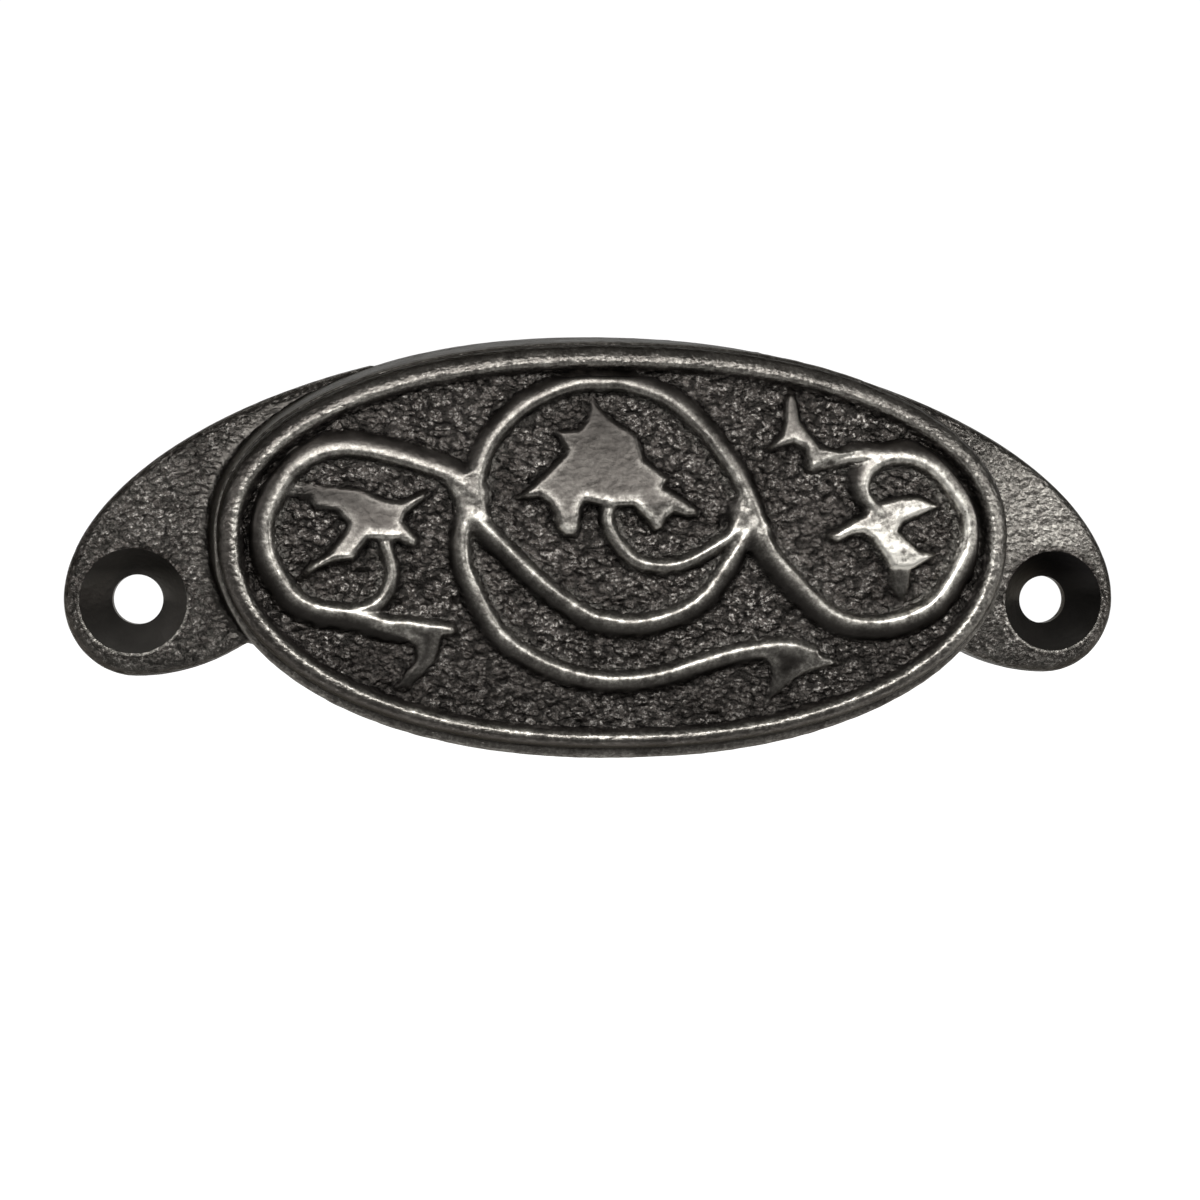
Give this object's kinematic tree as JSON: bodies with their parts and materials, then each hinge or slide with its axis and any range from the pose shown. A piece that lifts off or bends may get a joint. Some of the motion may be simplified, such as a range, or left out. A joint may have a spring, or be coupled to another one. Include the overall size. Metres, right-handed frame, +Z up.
{
  "type": "cup pull",
  "caption": "cast iron cup pull: hollow oval cup open below for the fingers, ivy vine in relief on its face, flat ears with countersunk screw holes",
  "frame": {"origin": "on the back face that lies against the drawer, midway between the two screw holes", "axes": "+X along the row of screw holes, -Y out of the drawer towards the hand, +Z up, the finger opening facing down"},
  "size_m": [0.1018, 0.0164, 0.0394],
  "materials": {
    "iron": "blackened cast iron, waxed, with the high edges burnished bright"
  },
  "bodies": {
    "root": {"cup_pull": "iron"}
  },
  "joints": []
}
